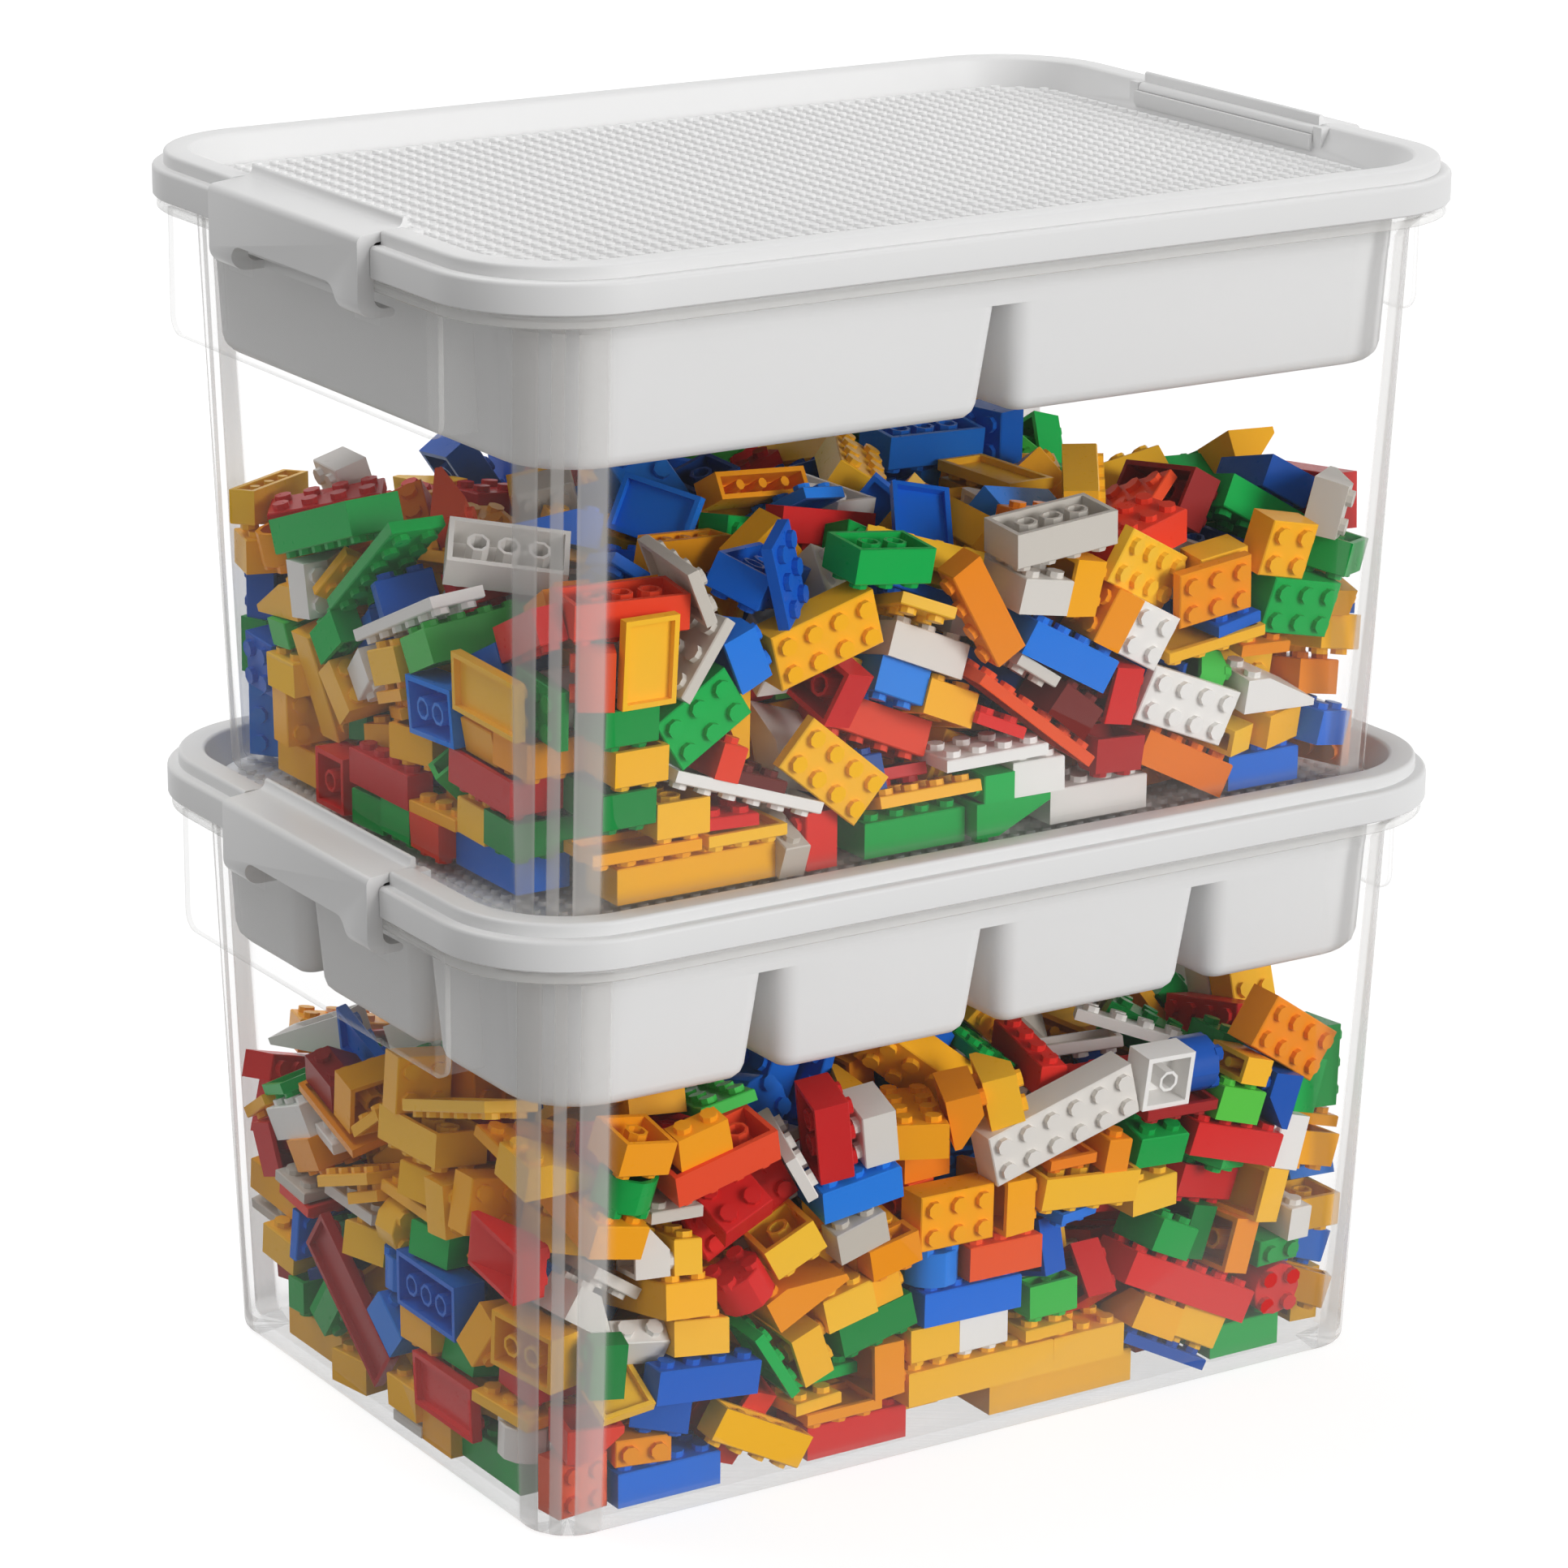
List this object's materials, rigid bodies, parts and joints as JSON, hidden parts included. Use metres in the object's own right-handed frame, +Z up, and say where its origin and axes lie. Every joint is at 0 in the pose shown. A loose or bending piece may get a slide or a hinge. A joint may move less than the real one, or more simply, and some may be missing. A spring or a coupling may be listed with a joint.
{
  "type": "building block storage box",
  "caption": "Stacked clear storage boxes full of studded building bricks, with white studded lids, swinging end latches and lift-out sorting trays.",
  "frame": {"origin": "centre of the lower tub's foot, on the surface that the stack stands on", "axes": "+X along the long sides, -Y out of the long front side, +Z up"},
  "size_m": [0.4092, 0.284, 0.4472],
  "materials": {
    "clear_plastic": "clear moulded polypropylene, frosty in its thick corners",
    "white_plastic": "satin white moulded polypropylene",
    "brick_yellow": "glossy moulded brick plastic",
    "brick_red": "glossy moulded brick plastic",
    "brick_blue": "glossy moulded brick plastic",
    "brick_green": "glossy moulded brick plastic",
    "brick_white": "glossy moulded brick plastic"
  },
  "bodies": {
    "lower_tub": {"lower_tub": "clear_plastic", "lower_brick_heap": "brick_yellow", "lower_brick_front_1": "brick_blue", "lower_brick_front_2": "brick_red", "lower_brick_front_3": "brick_yellow", "lower_brick_front_4": "brick_green", "lower_brick_left_1": "brick_green", "lower_brick_left_2": "brick_yellow"},
    "lower_tray": {"lower_tray_1": "white_plastic", "lower_tray_2": "white_plastic", "lower_tray_3": "white_plastic", "lower_tray_4": "white_plastic"},
    "lower_lid": {"lower_lid": "white_plastic", "lower_stud_panel": "white_plastic"},
    "lower_latch_left": {"lower_latch_left": "white_plastic"},
    "lower_latch_right": {"lower_latch_right": "white_plastic"},
    "upper_tub": {"upper_tub": "clear_plastic", "upper_brick_heap": "brick_yellow", "upper_brick_front_1": "brick_yellow", "upper_brick_front_2": "brick_green", "upper_brick_front_3": "brick_white", "upper_brick_front_4": "brick_blue", "upper_brick_left_1": "brick_blue", "upper_brick_left_2": "brick_yellow"},
    "upper_tray": {"upper_tray": "white_plastic"},
    "upper_lid": {"upper_lid": "white_plastic", "upper_stud_panel": "white_plastic"},
    "upper_latch_left": {"upper_latch_left": "white_plastic"},
    "upper_latch_right": {"upper_latch_right": "white_plastic"}
  },
  "joints": [
    {"name": "lower_lid_lift", "type": "slide", "parent": "lower_tub", "child": "lower_lid", "axis": [0, 0, 1], "range_m": [0, 0.03]},
    {"name": "lower_tray_lift", "type": "slide", "parent": "lower_tub", "child": "lower_tray", "axis": [0, 0, 1], "range_m": [0, 0.015]},
    {"name": "lower_latch_left_swing", "type": "hinge", "parent": "lower_lid", "child": "lower_latch_left", "pos_m": [-0.1855, 0, 0.2235], "axis": [0, 1, 0], "range_deg": [0, 90]},
    {"name": "lower_latch_right_swing", "type": "hinge", "parent": "lower_lid", "child": "lower_latch_right", "pos_m": [0.1855, 0, 0.2235], "axis": [0, -1, 0], "range_deg": [0, 90]},
    {"name": "upper_box_lift", "type": "slide", "parent": "lower_lid", "child": "upper_tub", "axis": [0, 0, 1], "range_m": [0, 0.06]},
    {"name": "upper_lid_lift", "type": "slide", "parent": "upper_tub", "child": "upper_lid", "axis": [0, 0, 1], "range_m": [0, 0.03]},
    {"name": "upper_tray_lift", "type": "slide", "parent": "upper_tub", "child": "upper_tray", "axis": [0, 0, 1], "range_m": [0, 0.015]},
    {"name": "upper_latch_left_swing", "type": "hinge", "parent": "upper_lid", "child": "upper_latch_left", "pos_m": [-0.1855, 0, 0.441], "axis": [0, 1, 0], "range_deg": [0, 90]},
    {"name": "upper_latch_right_swing", "type": "hinge", "parent": "upper_lid", "child": "upper_latch_right", "pos_m": [0.1855, 0, 0.441], "axis": [0, -1, 0], "range_deg": [0, 90]}
  ],
  "couplings": [
    {"joint": "lower_tray_lift", "follows": "lower_lid_lift", "ratio": 0.5},
    {"joint": "lower_latch_left_swing", "follows": "lower_lid_lift", "rad_per_m": 52.359},
    {"joint": "lower_latch_right_swing", "follows": "lower_lid_lift", "rad_per_m": 52.359},
    {"joint": "upper_tray_lift", "follows": "upper_lid_lift", "ratio": 0.5},
    {"joint": "upper_latch_left_swing", "follows": "upper_lid_lift", "rad_per_m": 52.359},
    {"joint": "upper_latch_right_swing", "follows": "upper_lid_lift", "rad_per_m": 52.359}
  ]
}
